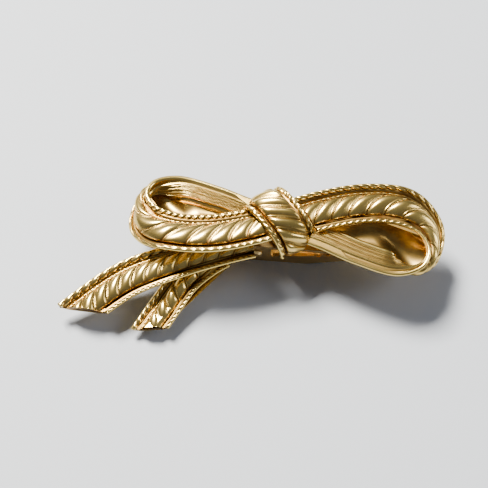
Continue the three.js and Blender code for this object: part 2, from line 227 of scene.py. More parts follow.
def finished(bm: bmesh.types.BMesh, name: str) -> bpy.types.Object:
    """Turns a bmesh into an object in the scene and frees the bmesh.

    Args:
        bm: the bmesh, in metres in the row frame.
        name: the object's name.

    Returns:
        The new object.
    """
    mesh = bpy.data.meshes.new(name)
    bm.to_mesh(mesh)
    bm.free()
    piece = bpy.data.objects.new(name, mesh)
    bpy.context.scene.collection.objects.link(piece)
    return piece


def swept(name: str, along: int, around: int, section: Section, place: Callable[..., Array],
          trim: Optional[Trim] = None, trim_late: Optional[Trim] = None) -> bpy.types.Object:
    """Makes a closed body by wrapping a grid round a path and closing its ends.

    Args:
        name: the object's name.
        along: faces along the path.
        around: faces round the section.
        section: gives across, lift and the amount of painted shade for shares along and around.
        place: gives points for share, across and lift.
        trim: an optional cut for the first half of the path, or for all of it when trim_late isn't given.
        trim_late: an optional cut for the second half.

    Returns:
        The new object, with an attribute of painted shade for its materials.
    """
    bm = bmesh.new()
    # Each vertex carries an amount of painted shade, from 0 on proud faces to 1 in the deepest hollows.
    painted_shade = bm.verts.layers.float.new("painted_shade")
    travelled = bm.verts.layers.float.new("travelled")
    bmesh.ops.create_grid(bm, x_segments=along, y_segments=around, size=0.5)
    flat = np.array([vert.co[:2] for vert in bm.verts]) + 0.5
    across, lift, shade_amounts = section(flat[:, 0], flat[:, 1])
    points = (place(flat[:, 0], across, lift) + ORIGIN) * MM
    for vert, point, shaded, share in zip(bm.verts, points, shade_amounts, flat[:, 0]):
        vert.co = point
        vert[painted_shade] = shaded
        vert[travelled] = share
    bmesh.ops.remove_doubles(bm, verts=bm.verts, dist=MERGE_DISTANCE)
    close_ends(bm)
    bmesh.ops.recalc_face_normals(bm, faces=bm.faces)
    if trim:
        trim(bm, lambda vert: trim_late is None or vert[travelled] < 0.5)
    if trim_late:
        trim_late(bm, lambda vert: vert[travelled] >= 0.5)
    for face in bm.faces:
        face.smooth = len(face.verts) == 4
    return finished(bm, name)


def cut_plane(middle: Array, normal: Array) -> Trim:
    """Makes a trim that removes what lies behind a plane and closes the cut.

    Args:
        middle: a point on the plane, in millimetres.
        normal: the direction that is kept.

    Returns:
        A function that trims a bmesh where its vertices are accepted.
    """

    def trim(bm: bmesh.types.BMesh, accepts: Callable[[bmesh.types.BMVert], bool]) -> None:
        """Bisects a part of the bmesh and fills the open end.

        Args:
            bm: the bmesh.
            accepts: says whether a vertex belongs to the part that is trimmed.
        """
        verts = [vert for vert in bm.verts if accepts(vert)]
        edges = [edge for edge in bm.edges if all(accepts(vert) for vert in edge.verts)]
        faces = [face for face in bm.faces if all(accepts(vert) for vert in face.verts)]
        bmesh.ops.bisect_plane(
            bm, geom=[*verts, *edges, *faces], plane_co=Vector((middle + ORIGIN) * MM),
            plane_no=Vector(normal), clear_inner=True,
        )
        close_ends(bm)

    return trim


# ----------------------------------------------------------------------------------------------------------
# Finishes
# ----------------------------------------------------------------------------------------------------------


class Shade:
    """Small helper that adds and joins nodes in one tree."""

    def __init__(self, tree: bpy.types.NodeTree) -> None:
        """Keeps the tree."""
        self.tree = tree

    def node(self, kind: str, **values: object) -> bpy.types.Node:
        """Adds a node and sets its properties and inputs.

        Args:
            kind: the node's type name.
            values: properties by name, or inputs by name with spaces as underscores.

        Returns:
            The node.
        """
        made = self.tree.nodes.new(kind)
        for key, value in values.items():
            socket = key.replace("_", " ")
            if hasattr(made, key):
                setattr(made, key, value)
            elif isinstance(value, bpy.types.NodeSocket):
                self.tree.links.new(value, made.inputs[socket])
            else:
                made.inputs[socket].default_value = value
        return made

    def math(self, operation: str, *values: object) -> bpy.types.NodeSocket:
        """Adds a Math node.

        Args:
            operation: the node's operation.
            values: numbers or sockets for its inputs, in order.

        Returns:
            The node's output.
        """
        made = self.tree.nodes.new("ShaderNodeMath")
        made.operation = operation
        for socket, value in zip(made.inputs, values):
            if isinstance(value, bpy.types.NodeSocket):
                self.tree.links.new(value, socket)
            else:
                socket.default_value = value
        return made.outputs[0]

    def mix_color(self, factor: object, first: object, second: object) -> bpy.types.NodeSocket:
        """Mixes two colours.

        Args:
            factor: the share of the second colour.
            first: the first colour.
            second: the second colour.

        Returns:
            The mixed colour.
        """
        made = self.tree.nodes.new("ShaderNodeMix")
        made.data_type = "RGBA"
        factor_input, first_input, second_input = (made.inputs[index] for index in (0, 6, 7))
        for socket, value in ((factor_input, factor), (first_input, first), (second_input, second)):
            if isinstance(value, bpy.types.NodeSocket):
                self.tree.links.new(value, socket)
            else:
                socket.default_value = value
        return made.outputs[2]


def new_group(name: str, inputs: dict[str, float],
              outputs: dict[str, str]) -> tuple[bpy.types.NodeTree, Shade]:
    """Starts a node group with float inputs.

    Args:
        name: the group's name.
        inputs: input names and defaults.
        outputs: output names and socket types.

    Returns:
        The group and a helper for it.
    """
    group = bpy.data.node_groups.new(name, "ShaderNodeTree")
    for label, default in inputs.items():
        socket = group.interface.new_socket(name=label, in_out="INPUT", socket_type="NodeSocketFloat")
        socket.default_value = default
    for label, kind in outputs.items():
        group.interface.new_socket(name=label, in_out="OUTPUT", socket_type=kind)
    return group, Shade(group)


def grain_group(broad_share: float = 0.6) -> bpy.types.NodeTree:
    """Makes the fine satin grain: a mask for tone and a height for bump.

    Args:
        broad_share: how much of the mask the broad blotches make.

    Returns:
        The group.
    """
    group, shade = new_group(
        "satin_grain", {"Scale": 900.0, "Blotch": 120.0},
        {"Mask": "NodeSocketFloat", "Height": "NodeSocketFloat"},
    )
    inside, outside = group.nodes.new("NodeGroupInput"), group.nodes.new("NodeGroupOutput")
    place = shade.node("ShaderNodeTexCoord").outputs["Object"]
    scale, blotch = inside.outputs["Scale"], inside.outputs["Blotch"]
    fine = shade.node("ShaderNodeTexNoise", Vector=place, Detail=4.0, Roughness=0.65, Scale=scale)
    broad = shade.node("ShaderNodeTexNoise", Vector=place, Detail=3.0, Roughness=0.5, Scale=blotch)
    fine_part = shade.math("MULTIPLY", fine.outputs["Fac"], 1 - broad_share)
    blend = shade.math("MULTIPLY_ADD", broad.outputs["Fac"], broad_share, fine_part)
    group.links.new(blend, outside.inputs["Mask"])
    group.links.new(fine.outputs["Fac"], outside.inputs["Height"])
    return group


def painted_shade_group(blotch_gain: float = 0.7, blotch_base: float = 0.65) -> bpy.types.NodeTree:
    """Makes the mask of painted shade in the hollows, broken up by blotches.

    Args:
        blotch_gain: how strongly the blotches change the mask.
        blotch_base: the mask's share where the blotches are lowest.

    Returns:
        The group.
    """
    group, shade = new_group("hollow_painted_shade", {"Strength": 1.0}, {"Mask": "NodeSocketFloat"})
    inside, outside = group.nodes.new("NodeGroupInput"), group.nodes.new("NodeGroupOutput")
    # Reads the painted shade that each piece stores on its vertices.
    shaded = shade.node("ShaderNodeAttribute", attribute_name="painted_shade").outputs["Fac"]
    place = shade.node("ShaderNodeTexCoord").outputs["Object"]
    noise = shade.node("ShaderNodeTexNoise", Vector=place, Scale=500.0, Detail=3.0).outputs["Fac"]
    broken = shade.math("MULTIPLY", shaded, shade.math("MULTIPLY_ADD", noise, blotch_gain, blotch_base))
    strong = shade.math("MULTIPLY", broken, inside.outputs["Strength"])
    made = shade.node("ShaderNodeClamp", Value=strong)
    group.links.new(made.outputs[0], outside.inputs["Mask"])
    return group


@dataclass(frozen=True)
class MetalFinish:
    """A plated metal with a grain that lightens it in blotches, and painted shade darkening its hollows."""

    name: str
    base: tuple[float, float, float]
    shaded: tuple[float, float, float]
    bright: tuple[float, float, float]
    roughness: float = 0.17
    roughness_spread: float = 0.1
    hollow_roughness: float = 0.12
    bump: float = 0.12
    bump_distance: float = 0.00004
    grain_scale: float = 900.0
    hollow_shade: float = 1.0

    def build(self, grain: bpy.types.NodeTree, hollow_shade: bpy.types.NodeTree) -> bpy.types.Material:
        """Builds the material from the shared groups.

        Args:
            grain: the grain group.
            hollow_shade: the group that masks hollows.

        Returns:
            The material.
        """
        material = bpy.data.materials.new(self.name)
        material.use_nodes = True
        tree = material.node_tree
        shade = Shade(tree)
        principled = tree.nodes["Principled BSDF"]
        principled.inputs["Metallic"].default_value = 1.0
        fine = shade.node("ShaderNodeGroup", node_tree=grain, Scale=self.grain_scale)
        shade_mask = shade.node("ShaderNodeGroup", node_tree=hollow_shade, Strength=self.hollow_shade)
        tone = shade.mix_color(fine.outputs["Mask"], (*self.base, 1), (*self.bright, 1))
        # Mixes towards the shade colour by the mask: painted shade in the hollows.
        tone = shade.mix_color(shade_mask.outputs["Mask"], tone, (*self.shaded, 1))
        tree.links.new(tone, principled.inputs["Base Color"])
        rough = shade.math("MULTIPLY_ADD", fine.outputs["Mask"], self.roughness_spread, self.roughness)
        rough = shade.math("MULTIPLY_ADD", shade_mask.outputs["Mask"], self.hollow_roughness, rough)
        tree.links.new(rough, principled.inputs["Roughness"])
        bump = shade.node("ShaderNodeBump", Strength=self.bump, Distance=self.bump_distance,
                          Height=fine.outputs["Height"])
        tree.links.new(bump.outputs[0], principled.inputs["Normal"])
        return material


# Each finish's shade colour is painted shade, laid into hollows by the shade mask.
SATIN_GOLD = MetalFinish(
    "satin_gold_plate", base=(0.76, 0.5, 0.12), shaded=(0.16, 0.068, 0.014), bright=(0.97, 0.74, 0.25)
)
CLIP_GOLD = MetalFinish(
    "clip_gold_plate", base=(0.6, 0.4, 0.14), shaded=(0.45, 0.25, 0.08), bright=(0.8, 0.58, 0.26),
    roughness=0.24, bump=0.08, grain_scale=1400.0, hollow_shade=0.0,
)
SPRING_STEEL = MetalFinish(
    "drawn_spring_wire", base=(0.5, 0.49, 0.46), shaded=(0.2, 0.19, 0.17), bright=(0.66, 0.65, 0.62),
    roughness=0.25, bump=0.15, grain_scale=2200.0, hollow_shade=0.6,
)


class Finishes:
    """Builds every finish once and hands it out by slot."""

    def __init__(self) -> None:
        """Builds the shared groups and the materials."""
        grain, hollow_shade = grain_group(), painted_shade_group()
        self.by_slot = {
            Slot.GOLD: SATIN_GOLD.build(grain, hollow_shade),
            Slot.CLIP: CLIP_GOLD.build(grain, hollow_shade),
            Slot.STEEL: SPRING_STEEL.build(grain, hollow_shade),
        }

    def dress(self, piece: bpy.types.Object, slot: Slot, stands_for: Sequence[str] = (),
              rides: bool = True) -> None:
        """Gives a new piece its material, its slot and its body.

        Args:
            piece: the piece.
            slot: the record's slot.
            stands_for: CAD nodes that it replaces.
            rides: whether it rides on the bow's body.
        """
        piece.data.materials.append(self.by_slot[slot])
        if stands_for:
            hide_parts(*stands_for)
        if rides:
            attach(piece, BOW_BODY)
        log.info("%s: %d faces", piece.name, len(piece.data.polygons))


# ----------------------------------------------------------------------------------------------------------
# Ribbon pieces
# ----------------------------------------------------------------------------------------------------------


@dataclass
class RibbonPieces:
    """Makes the pieces of one ribbon."""

    ribbon: Ribbon
    finishes: Finishes
    strip_step: float = 0.25
    strip_faces: int = 136
    strip_under_wire: float = 0.4
    strip_inset: float = 0.25
    strip_bend: float = 0.2
    strip_sink: float = 0.2
    strip_rise: float = 0.32
    groove_pitch: float = 0.42
    groove_depth: float = 0.07
    broad_grooves: float = 3.3
    lip_place: float = 0.9
    lip_width: float = 0.16
    lip_height: float = 0.2
    lip_shade: float = 0.9
    back_shade: float = 0.62
    groove_shade: float = 0.36
    rib_step: float = 0.06
    rib_faces: int = 44
    crown_share: float = 0.8
    crown_gain: float = 1.12
    rib_underside: float = -0.05
    lobe_skew: float = 0.72
    lobe_floor: float = 0.3
    ridge_place: float = 0.93
    ridge_width: float = 0.035
    ridge_height: float = 0.3
    wire_step: float = 0.09
    wire_faces: int = 28
    strands_face: float = 35.0
    strands_from: float = -0.15
    strands_full: float = 0.6
    strand_depth: float = 0.5
    strand_shade: float = 0.95
    bead_step: float = 0.12
    bead_faces: int = 10
    bead_radius: float = 0.14
    bead_pitch: float = 0.8
    bead_lift: float = 0.15
    bead_beside_rib: float = 0.07

    def build(self) -> None:
        """Makes every piece of the ribbon."""
        self.strip()
        self.rib()
        for index, side in enumerate((-1, 1)):
            self.wire(side, index)
        if self.ribbon.bead_side:
            self.bead(self.ribbon.bead_side)

    def sweep(self, name: str, step: float, around: int, section: Section,
              place: Optional[Callable[..., Array]] = None) -> bpy.types.Object:
        """Sweeps a section along the ribbon and trims it at the knot.

        Args:
            name: the piece's name.
            step: the length of a face along the ribbon.
            around: faces round the section.
            section: gives across, lift and recess for shares along and around.
            place: places the section's points, if not as the ribbon does.

        Returns:
            The new object.
        """
        ribbon = self.ribbon
        along = max(8, round(ribbon.length / step))
        return swept(name, along, around, section, place or ribbon.place, ribbon.trim, ribbon.trim_late)

    def strip(self) -> None:
        """Makes the plain strip: it reaches under both wires, and is finely grooved along its back."""
        ribbon = self.ribbon
        half = float(ribbon.room(np.array(ribbon.width)))
        edge = half + ribbon.wire_radius + ribbon.gap

        def section(share: Array, around: Array) -> tuple[Array, Array, Array]:
            """Goes along the face from one edge to the other and back under the strip.

            Args:
                share: shares along the ribbon.
                around: shares round the section.

            Returns:
                Across, lift and recess.
            """
            front = around < 0.5
            shares = np.where(front, 4 * around - 1, 3 - 4 * around)
            low, high = (self.strip_under_wire * scale - self.strip_inset for scale in ribbon.wire_scale)
            x = np.where(shares > 0, shares * (edge + high), shares * (edge + low))
            beside = np.abs(x)
            at_edge = smoothstep(beside, 0.8 * half, half + self.strip_bend)
            rise = self.strip_rise * at_edge * (1 - smoothstep(beside, edge, edge + self.strip_bend))
            fine = np.sin(2 * np.pi * x / self.groove_pitch + 1.5 * np.sin(9 * share + x))
            broad = np.sin(2 * np.pi * x / (self.broad_grooves * self.groove_pitch) + 0.8 * np.sin(5 * share))
            lip = np.exp(-(((beside - self.lip_place * half) / self.lip_width) ** 2))
            back = -ribbon.strip_thickness * (1 - 0.5 * at_edge)
            back = back + self.groove_depth * (fine + 0.8 * broad) * (1 - at_edge) - self.lip_height * lip
            # Painted shade: the grooved back is darker in its grooves and lighter on the lip, and the face
            # under the rib and wires is shaded almost all over.
            shade = self.back_shade + self.groove_shade * fine * (1 - at_edge)
            back_painted_shade = np.clip(shade - self.lip_shade * lip, 0, 1)
            face_shade = 1.0 - 0.2 * at_edge
            return x, np.where(front, rise - self.strip_sink, back), np.where(front, face_shade, back_painted_shade)

        piece = self.sweep(f"{ribbon.name}_plain_strip", self.strip_step, self.strip_faces, section)
        self.finishes.dress(piece, Slot.GOLD, [ribbon.nodes["strip"]])

    def rib(self) -> None:
        """Makes the fluted rib: leaning lobes that overlap, with a sharp line between them."""
        ribbon = self.ribbon
        half = float(ribbon.room(np.array(ribbon.width))) * ribbon.rib_share

        def section(share: Array, around: Array) -> tuple[Array, Array, Array]:
            """Goes over the crown and back along the flat underside.

            Args:
                share: shares along the ribbon.
                around: shares round the section.

            Returns:
                Across, lift and recess.
            """
            crown = around < self.crown_share
            under = 2 * (around - self.crown_share) / (1 - self.crown_share)
            x = np.where(crown, -np.cos(np.pi * around / self.crown_share), 1 - under)
            arch = np.clip(1 - np.abs(x) ** ribbon.roundness, 0, 1) ** (1 / ribbon.roundness)
            lean = ribbon.flute_lean * half * x + ribbon.flute_bend * (half * x) ** 2
            travelled = share * (ribbon.length - ribbon.cut * (half * x / ribbon.width + 0.5))
            phase = (travelled - lean) / ribbon.flute_pitch
            lobe = phase - np.floor(phase)
            swell = np.sin(np.pi * lobe**self.lobe_skew) ** ribbon.swell_power
            ridge = np.exp(-(((lobe - self.ridge_place) / self.ridge_width) ** 2))
            height = self.lobe_floor + (1 - self.lobe_floor) * swell + self.ridge_height * ridge * arch
            crest = ribbon.gap + (ribbon.rib_height - ribbon.gap) * arch * height * self.crown_gain
            # Painted shade in the valleys between lobes and down the rib's flanks; the flat underside is
            # fully shaded.
            valley = np.clip(1.05 - swell - 0.6 * ridge, 0, 1)
            crown_shade = np.clip(valley + 0.8 * (1 - arch) ** 1.5, 0, 1)
            lift = np.where(crown, crest, self.rib_underside)
            return x * half + ribbon.rib_shift, lift, np.where(crown, crown_shade, 1.0)

        piece = self.sweep(f"{ribbon.name}_fluting", self.rib_step, self.rib_faces, section)
        self.finishes.dress(piece, Slot.GOLD, [ribbon.nodes["rib"]])

    def wire(self, side: int, index: int) -> None:
        """Makes the wire along one edge: smooth outside, with twisted strands towards the rib.

        Args:
            side: -1 or 1, the edge it runs along.
            index: 0 or 1, its place in the ribbon's pairs of values.
        """
        ribbon = self.ribbon
        pitch = ribbon.strand_pitch[index]
        radius = ribbon.wire_radius * ribbon.wire_scale[index]
        inwards = math.radians(180 - self.strands_face if side > 0 else self.strands_face)

        def section(share: Array, around: Array) -> tuple[Array, Array, Array]:
            """Goes round a wire that is cut into strands on its inner, upper side.

            Args:
                share: shares along the ribbon.
                around: shares round the section.

            Returns:
                Across, lift and recess.
            """
            angle = 2 * np.pi * around
            turn = side * np.pi * share * ribbon.length / pitch
            strand = np.abs(np.cos(angle - turn))
            showing = smoothstep(np.cos(angle - inwards), self.strands_from, self.strands_full)
            notch = (1 - strand) ** 0.9 * showing
            reach = radius * (1 - self.strand_depth * notch)
            # Painted shade in the notches between the strands.
            painted_shade = np.clip(self.strand_shade * notch, 0, 1)
            return reach * np.cos(angle), ribbon.wire_lift + reach * np.sin(angle), painted_shade

        def place(share: Array, across: Array, lift: Array) -> Array:
            """Places points measured from the wire's own edge of the ribbon."""
            return ribbon.place(share, across, lift, side)

        node = ribbon.nodes[("low_wire", "high_wire")[index]]
        piece = self.sweep(f"{node}_twist", self.wire_step, self.wire_faces, section, place)
        self.finishes.dress(piece, Slot.GOLD, [node])

    def bead(self, side: int) -> None:
        """Makes the thin twisted line at the foot of the rib.

        Args:
            side: -1 or 1, the side of the rib.
        """
        ribbon = self.ribbon
        half = float(ribbon.room(np.array(ribbon.width)))
        foot = side * half * (ribbon.rib_share + self.bead_beside_rib) + ribbon.rib_shift

        def section(share: Array, around: Array) -> tuple[Array, Array, Array]:
            """Goes round a small pair of strands.

            Args:
                share: shares along the ribbon.
                around: shares round the section.

            Returns:
                Across, lift and recess.
            """
            angle = 2 * np.pi * around
            strand = np.abs(np.cos(angle - np.pi * share * ribbon.length / self.bead_pitch))
            reach = self.bead_radius * (0.55 + 0.5 * strand)
            # The third value is painted shade between the small strands.
            return foot + reach * np.cos(angle), self.bead_lift + reach * np.sin(angle), 0.8 * (1 - strand)

        name = f"{ribbon.name}_{'low' if side < 0 else 'high'}_bead_line"
        piece = self.sweep(name, self.bead_step, self.bead_faces, section)
        self.finishes.dress(piece, Slot.GOLD)


# ----------------------------------------------------------------------------------------------------------
# The bow
# ----------------------------------------------------------------------------------------------------------


def ribbon_nodes(name: str, low: str, high: str) -> dict[str, str]:
    """Names the CAD nodes of one ribbon.

    Args:
        name: the loop or tail.
        low: the name of the wire on the low side.
        high: the name of the wire on the high side.

    Returns:
        Node names by kind of piece.
    """
    return {"strip": f"{name}_strip", "rib": f"{name}_fluted_rib", "low_wire": f"{name}_{low}",
            "high_wire": f"{name}_{high}"}


@dataclass
class Knot:
    """The band that wraps the middle of the bow."""

    finishes: Finishes
    middle: tuple[float, float] = (-1.0, 0.8)
    width: float = 6.3
    half_span: float = 5.3
    lean: float = 40.0
    low: float = 7.0
    top: float = 11.7
    front_end: float = 8.1
    foot: float = 3.0
    sole: float = 6.25
    core_top: float = 10.3
    core_bevel: float = 0.2
    core_shade: float = 0.7
    return_gap: float = 0.1
    wire_radius: float = 0.5
    gap: float = 0.2
    arch: tuple[tuple[float, float], ...] = (
        (-1, 0), (-0.92, 0.55), (-0.58, 0.9), (0, 1), (0.58, 0.9), (0.92, 0.55), (1, 0),
    )
    path: SmoothPath = field(init=False)

    def __post_init__(self) -> None:
        """Lays out the band's arch."""
        reach = self.along() * self.half_span
        rise = np.array([0, 0, self.top - self.low])
        level = np.array([*self.middle, self.low])
        self.path = SmoothPath([level + reach * x + rise * z for x, z in self.arch])

    def along(self) -> Array:
        """Returns the direction of the band, towards its front end."""
        turn = math.radians(self.lean - 90)
        return np.array([math.cos(turn), math.sin(turn), 0.0])

    def side(self) -> Array:
        """Returns the direction across the band, to the right."""
        along = self.along()
        return np.array([-along[1], along[0], 0.0])

    def trim(self, side: int, tuck: float = 0.0) -> Trim:
        """Returns the cut that keeps a piece on one side clear of the knot's long side.

        Args:
            side: 1 for the right side, -1 for the left.
            tuck: how far the piece may reach in under the knot.

        Returns:
            The trim.
        """
        reach = self.width / 2 + self.wire_radius + self.gap - tuck
        normal = self.side() * side
        return cut_plane(np.array([*self.middle, 0.0]) + normal * reach, normal)

    def trim_return(self, side: int) -> Trim:
        """Returns the cut for what comes back to the knot at one of its ends.

        Args:
            side: 1 for the front end, -1 for the back end.

        Returns:
            The trim.
        """
        normal = self.along() * side
        return cut_plane(np.array([*self.middle, 0.0]) + normal * (self.half_span + self.return_gap), normal)

    def frames(self, share: Array) -> RibbonFrame:
        """Frames the band over its arch.

        Args:
            share: shares of the band's length, from its back end.

        Returns:
            The frames.
        """
        middle = self.path.at(share)
        across = np.broadcast_to(self.side(), middle.shape)
        out = np.cross(self.path.tangent(share), across)
        return RibbonFrame(middle, across, out, np.full(len(middle), self.width))

    def build(self) -> None:
        """Makes the knot's ribbon and the block inside it."""
        nodes = {"strip": "knot_body", "rib": "knot_fluted_rib", "low_wire": "knot_left_wire",
                 "high_wire": "knot_right_wire"}
        front_trim = cut_plane(np.array([0.0, 0.0, self.front_end]), np.array([0.0, 0.0, 1.0]))
        ribbon = Ribbon("knot", self.width, self.path.length, self.frames, nodes, rib_share=0.95,
                        flute_pitch=2.4, flute_lean=0.75, flute_bend=0.0, roundness=3.4, swell_power=0.85,
                        strand_pitch=(1.25, 1.25), bead_side=0, trim_late=front_trim)
        RibbonPieces(ribbon, self.finishes).build()
        self.core()

    def core(self) -> None:
        """Makes the block inside the band, which stands on the clip's plate."""
        bm = bmesh.new()
        painted_shade = bm.verts.layers.float.new("painted_shade")
        bmesh.ops.create_cube(bm, size=2.0)
        half = self.width / 2 - self.wire_radius - self.gap
        for vert in bm.verts:
            x, y, z = vert.co
            level = np.array([*self.middle, self.core_top if z > 0 else self.sole])
            vert.co = (level + self.along() * self.foot * x + self.side() * half * y + ORIGIN) * MM
            # The whole block carries an even amount of painted shade.
            vert[painted_shade] = self.core_shade
        bmesh.ops.bevel(bm, geom=bm.edges[:], offset=self.core_bevel * MM, segments=3, profile=0.5,
                        affect="EDGES", material=-1)
        bmesh.ops.recalc_face_normals(bm, faces=bm.faces)
        self.finishes.dress(finished(bm, "knot_core"), Slot.GOLD)


@dataclass
class Loop:
    """One of the bow's loops: a ribbon that turns over as it goes round its opening."""

    finishes: Finishes
    knot: Knot
    name: str
    side: int
    reach: float
    opening_width: float
    opening_middle: float
    ribbon_width: float
    root_share: float
    wire_scale: tuple[float, float]
    face_height: float = 10.1
    back_height: float = 9.3
    face_tilt: float = -8.0
    return_tilt: float = 154.0
    return_share: float = 0.52
    turn_from: float = 0.36
    turn_to: float = 0.745
    pinch: float = 0.35
    root_from: float = 0.02
    root_to: float = 0.26
    bowl_sag: float = 1.3
    bowl_end_rise: float = 1.1
    bowl_thickness: float = 0.35
    bowl_tuck: float = 2.0
    outline: tuple[tuple[float, float], ...] = (
        (0.04, 0.15), (0.16, 0.42), (0.3, 0.76), (0.55, 1.18), (0.78, 1.2), (0.94, 0.78), (1.0, 0.05),
        (0.96, -0.6), (0.8, -1.0), (0.5, -0.6), (0.28, -0.1), (0.17, 0.12),
    )
    rim: SmoothPath = field(init=False)

    def __post_init__(self) -> None:
        """Lays out the rim of the opening."""
        half, middle = self.opening_width / 2, self.opening_middle
        self.rim = SmoothPath([(x * self.reach, middle + y * half, 0.0) for x, y in self.outline])

    def frames(self, share: Array) -> RibbonFrame:
        """Frames the ribbon round the opening.

        Args:
            share: shares of the rim's length, from the ribbon's root.

        Returns:
            The frames.
        """
        share = np.asarray(share)
        turned = smoothstep(share, self.turn_from, self.turn_to)
        tilt = np.radians(mix(self.face_tilt, self.return_tilt, turned))
        along = self.rim.tangent(share)
        outward = np.stack([-along[:, 1], along[:, 0], np.zeros(len(share))], -1)
        up = np.array([0.0, 0.0, 1.0])
        across = outward * np.cos(tilt)[:, None] - np.outer(np.sin(tilt), up)
        near_root = smoothstep(np.minimum(share, 1 - share), self.root_from, self.root_to)
        at_end = np.sin(np.pi * turned) ** 2
        kept = mix(self.root_share, 1.0, near_root) - self.pinch * at_end
        width = self.ribbon_width * kept * mix(1.0, self.return_share, turned)
        middle = self.rim.at(share)
        middle[:, 2] = mix(self.face_height, self.back_height, turned)
        middle = middle + across * (width / 2)[:, None]
        out = np.cross(along, across)
        turn = np.array([self.side, self.side, 1.0])
        return RibbonFrame(middle * turn, across * turn, out * turn, width)

    def build(self) -> None:
        """Makes the loop's ribbon and the bowl that closes its opening."""
        nodes = ribbon_nodes(self.name, "rim_wire", "edge_wire")
        ribbon = Ribbon(self.name, self.ribbon_width, self.rim.length, self.frames, nodes, rib_share=0.79,
                        rib_shift=-0.22 * self.side, flute_bend=0.1 * self.side, wire_scale=self.wire_scale,
                        bead_side=self.side, trim=self.knot.trim(self.side),
                        trim_late=self.knot.trim_return(self.side))
        RibbonPieces(ribbon, self.finishes).build()
        self.bowl(self.knot.trim(self.side, self.bowl_tuck))

    def bowl(self, trim: Trim) -> None:
        """Makes the smooth sheet that closes the opening, from the rim to the returning ribbon.

        Args:
            trim: the cut at the knot.
        """

        def place(share: Array, across: Array, lift: Array) -> Array:
            """Places points on a sagging sheet between the two sides of the opening.

            Args:
                share: shares from the knot to the loop's far end.
                across: shares from the rim to the returning ribbon.
                lift: millimetres over the sheet's top.

            Returns:
                Points in millimetres.
            """
            here = 0.5 * share
            face, hem = self.frames(here), self.frames(1 - here)
            start = face.middle - face.across * (face.width / 2 - 0.1)[:, None] - face.out * 0.4
            finish = hem.middle + hem.across * (hem.width / 2)[:, None] + hem.out * 0.1
            low = start * 0.7 + finish * 0.3
            end_rise = self.bowl_end_rise * smoothstep(share, 0.75, 1.0)
            low[:, 2] = np.minimum(start[:, 2], finish[:, 2]) - self.bowl_sag + end_rise
            v = across[:, None]
            point = start * (1 - v) ** 2 + low * 2 * v * (1 - v) + finish * v**2
            point[:, 2] += lift
            return point

        def section(share: Array, around: Array) -> tuple[Array, Array, Array]:
            """Goes over the sheet's top and back under it.

            Args:
                share: shares along the sheet.
                around: shares round the section.

            Returns:
                Shares across, lift and recess.
            """
            top = around < 0.5
            v = np.where(top, 2 * around, 2 - 2 * around)
            # Painted shade: darkest along the rim, lighter towards the returning ribbon, and fairly heavy
            # underneath.
            shaded = 0.55 + 0.4 * (1 - v) - 0.3 * smoothstep(v, 0.8, 1.0)
            return v, np.where(top, 0.0, -self.bowl_thickness), np.where(top, shaded, 0.8)

        name = f"{self.name}_bowl_sheet"
        piece = swept(name, along=120, around=72, section=section, place=place, trim=trim)
        self.finishes.dress(piece, Slot.GOLD, [f"{self.name}_bowl"])


@dataclass
class Tail:
    """A tail of ribbon that falls from under the left loop."""

    finishes: Finishes
    name: str
    width: float
    root_share: float
    cut: float
    strand_pitch: tuple[float, float]
    wire_scale: tuple[float, float]
    route: tuple[tuple[float, float, float], ...]
    trim: Optional[Trim] = None
    strip_thickness: float = 0.6
    full_width_from: float = 0.6
    path: SmoothPath = field(init=False)

    def __post_init__(self) -> None:
        """Lays out the tail's path."""
        self.path = SmoothPath(self.route)

    def frames(self, share: Array) -> RibbonFrame:
        """Frames the ribbon along the tail.

        Args:
            share: shares of the tail's length, from its root.

        Returns:
            The frames.
        """
        along = self.path.tangent(share)
        across = unit(np.cross(np.array([0.0, 0.0, 1.0]), along))
        out = np.cross(along, across)
        widened = smoothstep(np.asarray(share), 0.0, self.full_width_from)
        width = self.width * mix(self.root_share, 1.0, widened)
        return RibbonFrame(self.path.at(share) + out * self.strip_thickness, across, out, width)

    def build(self) -> None:
        """Makes the tail's ribbon."""
        nodes = ribbon_nodes(self.name, "back_wire", "front_wire")
        ribbon = Ribbon(self.name, self.width, self.path.length, self.frames, nodes, cut=self.cut,
                        rib_shift=0.15, flute_pitch=2.6, flute_lean=0.75, strand_pitch=self.strand_pitch,
                        wire_scale=self.wire_scale, trim=self.trim)
        RibbonPieces(ribbon, self.finishes).build()


# ----------------------------------------------------------------------------------------------------------
# The clip behind the bow
# ----------------------------------------------------------------------------------------------------------


